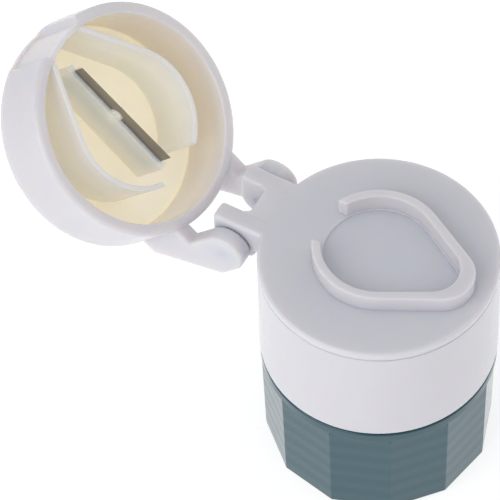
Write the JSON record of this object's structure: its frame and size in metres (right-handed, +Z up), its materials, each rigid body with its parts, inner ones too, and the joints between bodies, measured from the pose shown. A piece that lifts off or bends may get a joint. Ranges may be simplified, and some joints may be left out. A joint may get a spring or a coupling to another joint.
{
  "type": "pill splitter",
  "caption": "Pill splitter and crusher: a hinged lid with a blade closes over a fenced pocket on a round head that screws down into a faceted crushing cup.",
  "frame": {"origin": "centre of the crusher cup's flat underside", "axes": "+Z up along the axis of the cup and head, +Y from that axis towards the lid's hinge, +X along the hinge pins; the lid is open at its stop"},
  "size_m": [0.045, 0.0988, 0.0757],
  "materials": {
    "cup_plastic": "grey-teal, glossy",
    "screw_plastic": "white, semi-gloss",
    "foot_plastic": "white, semi-gloss",
    "clip_steel": "bright spring steel",
    "body_plastic": "cool white, glossy",
    "table_plastic": "cool white, glossy",
    "lid_plastic": "cool white, glossy",
    "blade_steel": "dark ground steel",
    "clamp_plastic": "white, glossy",
    "pin_plastic": "white, semi-gloss"
  },
  "bodies": {
    "cup": {"crusher_cup": "cup_plastic"},
    "press": {"press_foot": "foot_plastic", "foot_clip": "clip_steel"},
    "head": {"head_body": "body_plastic", "cutter_table": "table_plastic", "crusher_screw": "screw_plastic"},
    "lid": {"lid_shell": "lid_plastic", "blade": "blade_steel", "blade_clamp": "clamp_plastic", "hinge_pin_left": "pin_plastic", "hinge_pin_right": "pin_plastic"}
  },
  "joints": [
    {"name": "press_travel", "type": "slide", "parent": "cup", "child": "press", "axis": [0, 0, 1], "range_m": [0, 0.012]},
    {"name": "head_turn", "type": "hinge", "parent": "press", "child": "head", "pos_m": [0, 0, 0], "axis": [0, 0, 1], "range_deg": [0, 1080]},
    {"name": "lid_hinge", "type": "hinge", "parent": "head", "child": "lid", "pos_m": [0, 0.0274, 0.0472], "axis": [1, 0, 0], "range_deg": [0, 137.5]}
  ],
  "couplings": [
    {"joint": "head_turn", "follows": "press_travel", "rad_per_m": 1570.8}
  ]
}
